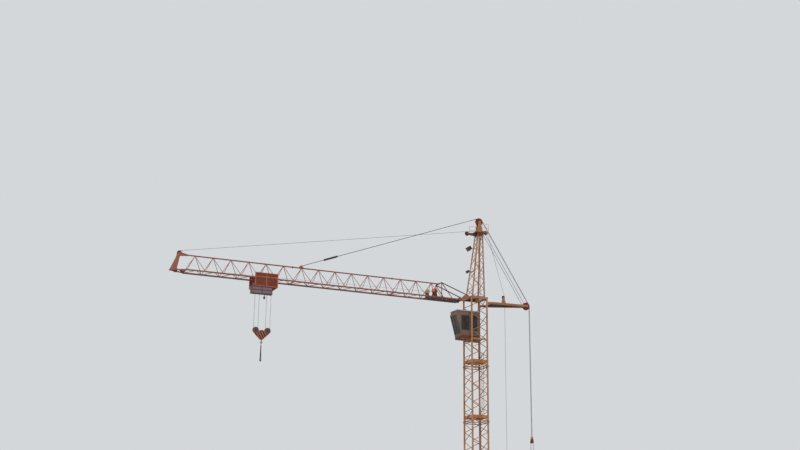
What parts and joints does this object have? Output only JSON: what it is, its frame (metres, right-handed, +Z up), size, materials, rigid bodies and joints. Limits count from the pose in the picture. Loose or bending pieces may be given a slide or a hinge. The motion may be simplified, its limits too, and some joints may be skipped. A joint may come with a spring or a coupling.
{
  "type": "tower crane",
  "caption": "Rail-mounted, bottom-slewing tower crane with a lattice tower and jib, a cab in the tower, a travelling trolley and a heart-shaped hook block.",
  "frame": {"origin": "centre of the ring frame's flat underside, on the slewing axis", "axes": "+X along the jib, +Y to the side, +Z up along the slewing axis"},
  "size_m": [37.3365, 6.32, 35.3076],
  "materials": {
    "ochre_paint": "weathered ochre paint with rust",
    "jib_paint": "faded coral red paint",
    "trolley_paint": "orange-red paint",
    "maroon_paint": "dull maroon paint",
    "block_paint": "orange-red and black stripes",
    "basket_paint": "pale grey paint",
    "steel": "dark worn steel",
    "rope": "greased steel wire rope",
    "rusty_steel": "rusty dark plate",
    "winch_grey": "grey machine enamel",
    "concrete": "cast concrete",
    "cab_white": "off-white enamel",
    "cab_glass": "dark cab glass",
    "lamp_grey": "dark lamp housing"
  },
  "bodies": {
    "undercarriage": {"ring_frame": "ochre_paint", "outrigger_legs": "ochre_paint", "bogie_frames": "ochre_paint", "travel_wheels": "steel", "lower_race": "steel"},
    "superstructure": {"turntable": "ochre_paint", "counterweights": "concrete", "winch_drums": "maroon_paint", "winch_frames": "winch_grey", "slewing_drive": "winch_grey", "electric_cabinet": "cab_white", "deck_railing": "ochre_paint", "portal": "ochre_paint", "lower_section": "ochre_paint", "middle_section": "ochre_paint", "cab_section": "ochre_paint", "tower_head": "ochre_paint", "luffing_sheaves": "maroon_paint", "hoist_sheaves": "maroon_paint", "head_platform": "ochre_paint", "landings": "rusty_steel", "ladders": "ochre_paint", "floodlights": "lamp_grey", "strut": "ochre_paint", "luffing_ropes": "rope", "tackle_block": "maroon_paint", "hoist_rope": "rope", "cab_floor": "rusty_steel", "cab_shell": "cab_white", "cab_glazing": "cab_glass", "jib_root": "jib_paint", "jib_middle": "jib_paint", "jib_end": "jib_paint", "trolley_winch": "trolley_paint", "trolley_rope": "rope", "pendants": "rope"},
    "trolley": {"trolley_frame": "trolley_paint", "trolley_wheels": "steel", "trolley_sheaves": "maroon_paint", "service_basket": "basket_paint", "hoist_falls": "rope"},
    "hook_block": {"hook_block": "block_paint", "hook_sheaves": "maroon_paint"},
    "load_hook": {"hook": "steel", "sling": "steel"}
  },
  "joints": [
    {"name": "slew", "type": "hinge", "parent": "undercarriage", "child": "superstructure", "pos_m": [0, 0, 0.6], "axis": [0, 0, 1], "continuous": true},
    {"name": "trolley_travel", "type": "slide", "parent": "superstructure", "child": "trolley", "axis": [1, 0, 0], "range_m": [-17.85, 6.4]},
    {"name": "hook_hoist", "type": "slide", "parent": "trolley", "child": "hook_block", "axis": [0, 0, 1], "range_m": [-17.5, 2.8], "deforming": ["hoist_falls"]},
    {"name": "hook_swivel", "type": "hinge", "parent": "hook_block", "child": "load_hook", "pos_m": [23.45, 0, 20.0903], "axis": [0, 0, 1], "continuous": true}
  ]
}
